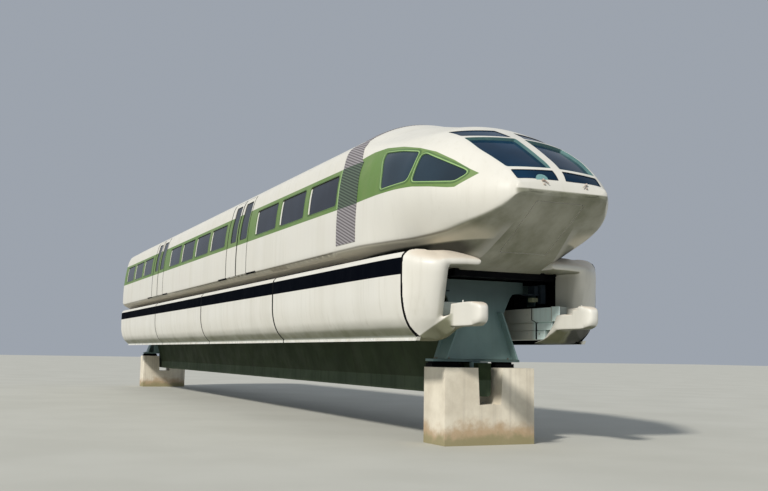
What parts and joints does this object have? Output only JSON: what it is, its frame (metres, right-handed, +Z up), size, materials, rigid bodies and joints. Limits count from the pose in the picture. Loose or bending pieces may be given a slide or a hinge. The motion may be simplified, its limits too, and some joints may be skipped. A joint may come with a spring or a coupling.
{
  "type": "magnetic levitation monorail car",
  "caption": "Streamlined end car of a magnetic levitation monorail, clasping a short length of steel guideway beam on concrete blocks, with hinged nose hatch and gangway door.",
  "frame": {"origin": "on the ground in the middle of the part's box", "axes": "+X towards the nose, +Y to the car's left, +Z up"},
  "size_m": [28.18, 3.692, 5.7003],
  "materials": {
    "body_paint": "satin",
    "skirt_paint": "satin",
    "tinted_glass": "gloss",
    "beam_steel": "satin",
    "undercarriage": "matte",
    "magnet_casing": "satin",
    "concrete": "matte",
    "mesh": "matte",
    "inside_lining": "matte",
    "seat_fabric": "matte"
  },
  "bodies": {
    "car": {"plinth_block_front": "concrete", "plinth_block_rear": "concrete", "beam_end_front": "beam_steel", "beam_end_rear": "beam_steel", "beam_web": "beam_steel", "beam_deck": "beam_steel", "bogie_frame_1": "undercarriage", "bogie_frame_2": "undercarriage", "bogie_frame_3": "undercarriage", "bogie_frame_4": "undercarriage", "magnet_row_right": "magnet_casing", "horn_right": "skirt_paint", "skirt_fairing_right": "skirt_paint", "skirt_right_1": "skirt_paint", "skirt_right_2": "skirt_paint", "skirt_right_3": "skirt_paint", "skirt_right_4": "skirt_paint", "side_wall_right": "body_paint", "door_right_front": "body_paint", "door_right_rear": "body_paint", "window_glass_right_1": "tinted_glass", "window_glass_right_2": "tinted_glass", "window_glass_right_3": "tinted_glass", "cab_glass_right": "tinted_glass", "magnet_row_left": "magnet_casing", "horn_left": "skirt_paint", "skirt_fairing_left": "skirt_paint", "skirt_left_1": "skirt_paint", "skirt_left_2": "skirt_paint", "skirt_left_3": "skirt_paint", "skirt_left_4": "skirt_paint", "side_wall_left": "body_paint", "door_left_front": "body_paint", "door_left_rear": "body_paint", "window_glass_left_1": "tinted_glass", "window_glass_left_2": "tinted_glass", "window_glass_left_3": "tinted_glass", "cab_glass_left": "tinted_glass", "underframe": "undercarriage", "roof": "body_paint", "nose_shell": "body_paint", "windscreen_frame": "body_paint", "windscreen_glass": "tinted_glass", "coupler": "undercarriage", "mesh_band": "mesh", "rear_bulkhead": "body_paint", "cab_partition": "inside_lining", "driver_desk": "inside_lining", "driver_seat": "seat_fabric"},
    "hatch": {"nose_hatch": "body_paint"},
    "gangway_leaf": {"gangway_door": "inside_lining"}
  },
  "joints": [
    {"name": "hatch_hinge", "type": "hinge", "parent": "car", "child": "hatch", "pos_m": [13.99, 0, 3.6455], "axis": [0, -1, 0], "range_deg": [0, 95]},
    {"name": "gangway_hinge", "type": "hinge", "parent": "car", "child": "gangway_leaf", "pos_m": [-13.01, 0.4497, 4.3], "axis": [0, 0, -1], "range_deg": [0, 90]}
  ]
}
